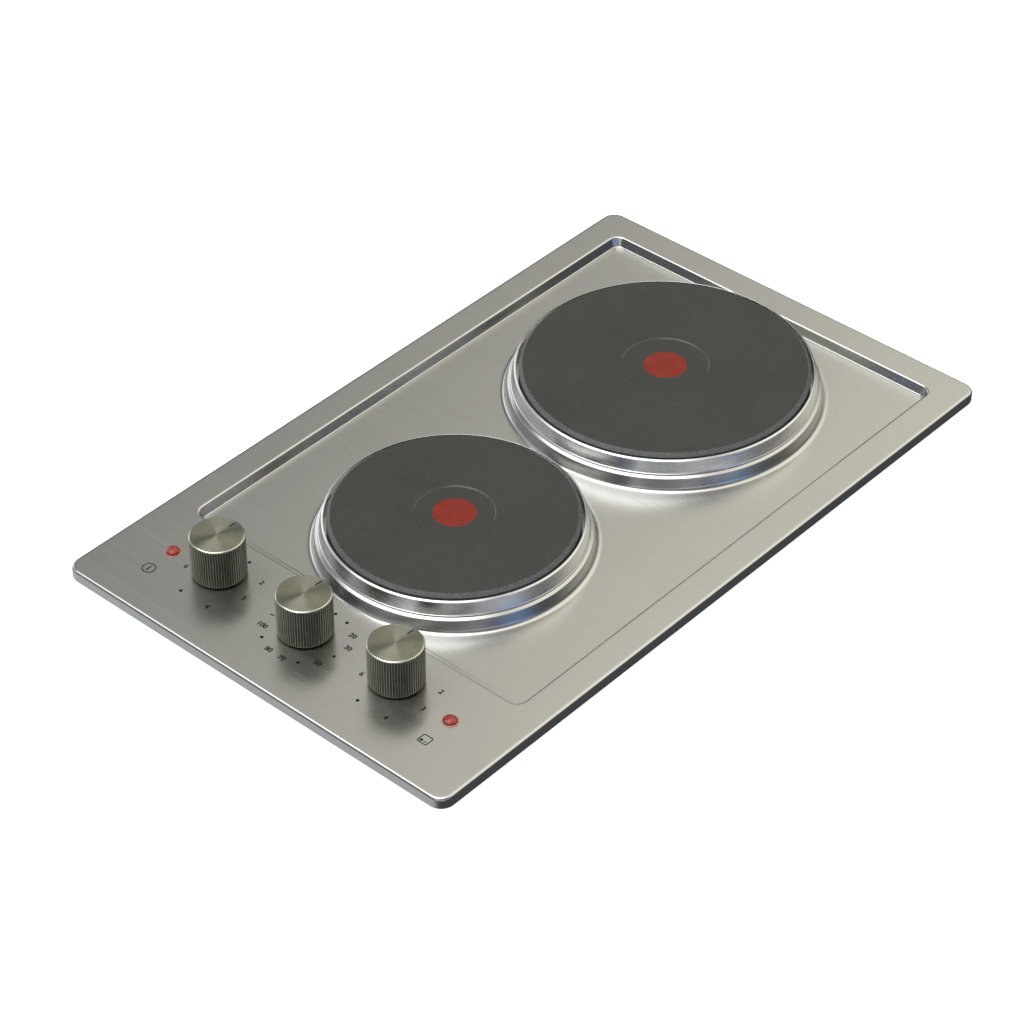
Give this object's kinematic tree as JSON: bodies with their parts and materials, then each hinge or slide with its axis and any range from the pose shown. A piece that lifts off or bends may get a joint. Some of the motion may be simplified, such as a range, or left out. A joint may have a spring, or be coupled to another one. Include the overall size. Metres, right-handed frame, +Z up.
{
  "type": "built-in electric hob",
  "caption": "Narrow built-in electric hob: brushed steel top with sunk well, round sealed cast-iron plates in trim rings, knurled control knobs, pilot lamps and a casing below.",
  "frame": {"origin": "under the middle of the hob, on the underside of its casing (bottom centre of its bounding box)", "axes": "+Z up, +Y from the knobs towards the rear plate, +X to the right seen from the knobs"},
  "size_m": [0.29, 0.48, 0.0805],
  "materials": {
    "brushed_steel": "fine brushed, warm grey",
    "cast_iron": "matt, finely textured, red enamel spot in the middle",
    "bright_steel": "bright rolled stainless",
    "knob_metal": "satin nickel, spun top, straight knurl",
    "insulating_compound": "matt moulded compound",
    "zinc_steel": "zinc plated",
    "casing_steel": "galvanised sheet",
    "white_ceramic": "matt steatite",
    "black_plastic": "fine moulded",
    "black_rubber": "matt",
    "red_lens": "clear red, domed",
    "grey_foam": "closed-cell foam",
    "lead_sleeve": "braided glass sleeve"
  },
  "bodies": {
    "hob": {"top_tray": "brushed_steel", "iron_plate_front": "cast_iron", "trim_ring_front": "bright_steel", "heating_element_front": "insulating_compound", "bottom_shield_front": "zinc_steel", "clamp_strap_front": "zinc_steel", "centre_stud_front": "zinc_steel", "stud_nut_front": "zinc_steel", "plate_terminal_front": "white_ceramic", "thermal_cutout_front": "black_plastic", "iron_plate_rear": "cast_iron", "trim_ring_rear": "bright_steel", "heating_element_rear": "insulating_compound", "bottom_shield_rear": "zinc_steel", "clamp_strap_rear": "zinc_steel", "centre_stud_rear": "zinc_steel", "stud_nut_rear": "zinc_steel", "plate_terminal_rear": "white_ceramic", "thermal_cutout_rear": "black_plastic", "shaft_seal_left": "black_rubber", "shaft_seal_middle": "black_rubber", "shaft_seal_right": "black_rubber", "heat_switch_left": "black_plastic", "heat_switch_right": "black_plastic", "timer_switch_middle": "black_plastic", "lamp_body_left": "black_plastic", "lamp_body_right": "black_plastic", "mains_terminal": "black_plastic", "cable_gland": "black_plastic", "lamp_lens_left": "red_lens", "lamp_lens_right": "red_lens", "switch_bracket": "zinc_steel", "bottom_casing": "casing_steel", "worktop_seal": "grey_foam", "clamp_screw_front_left": "zinc_steel", "casing_nut_front_left": "zinc_steel", "clamp_screw_rear_left": "zinc_steel", "casing_nut_rear_left": "zinc_steel", "clamp_screw_front_right": "zinc_steel", "casing_nut_front_right": "zinc_steel", "clamp_screw_rear_right": "zinc_steel", "casing_nut_rear_right": "zinc_steel", "lead_front_plate": "lead_sleeve", "lead_rear_plate": "lead_sleeve", "lead_mains": "lead_sleeve"},
    "left_knob": {"knob_cap_left": "knob_metal", "knob_hub_left": "black_plastic", "control_shaft_left": "zinc_steel"},
    "middle_knob": {"knob_cap_middle": "knob_metal", "knob_hub_middle": "black_plastic", "control_shaft_middle": "zinc_steel"},
    "right_knob": {"knob_cap_right": "knob_metal", "knob_hub_right": "black_plastic", "control_shaft_right": "zinc_steel"},
    "clamp_front_left": {"worktop_clamp_front_left": "zinc_steel"},
    "clamp_rear_left": {"worktop_clamp_rear_left": "zinc_steel"},
    "clamp_front_right": {"worktop_clamp_front_right": "zinc_steel"},
    "clamp_rear_right": {"worktop_clamp_rear_right": "zinc_steel"}
  },
  "joints": [
    {"name": "left_knob_turn", "type": "hinge", "parent": "hob", "child": "left_knob", "pos_m": [-0.0752, -0.1862, 0.0526], "axis": [0, 0, -1], "range_deg": [0, 245]},
    {"name": "middle_knob_turn", "type": "hinge", "parent": "hob", "child": "middle_knob", "pos_m": [-0.0036, -0.1898, 0.0526], "axis": [0, 0, -1], "range_deg": [0, 265]},
    {"name": "right_knob_turn", "type": "hinge", "parent": "hob", "child": "right_knob", "pos_m": [0.0618, -0.186, 0.0526], "axis": [0, 0, -1], "range_deg": [0, 245]},
    {"name": "clamp_front_left_swing", "type": "hinge", "parent": "hob", "child": "clamp_front_left", "pos_m": [-0.1312, -0.165, 0.0088], "axis": [0, 0, 1], "range_deg": [0, 90]},
    {"name": "clamp_rear_left_swing", "type": "hinge", "parent": "hob", "child": "clamp_rear_left", "pos_m": [-0.1312, 0.165, 0.0088], "axis": [0, 0, -1], "range_deg": [0, 90]},
    {"name": "clamp_front_right_swing", "type": "hinge", "parent": "hob", "child": "clamp_front_right", "pos_m": [0.1312, -0.165, 0.0088], "axis": [0, 0, -1], "range_deg": [0, 90]},
    {"name": "clamp_rear_right_swing", "type": "hinge", "parent": "hob", "child": "clamp_rear_right", "pos_m": [0.1312, 0.165, 0.0088], "axis": [0, 0, 1], "range_deg": [0, 90]}
  ]
}
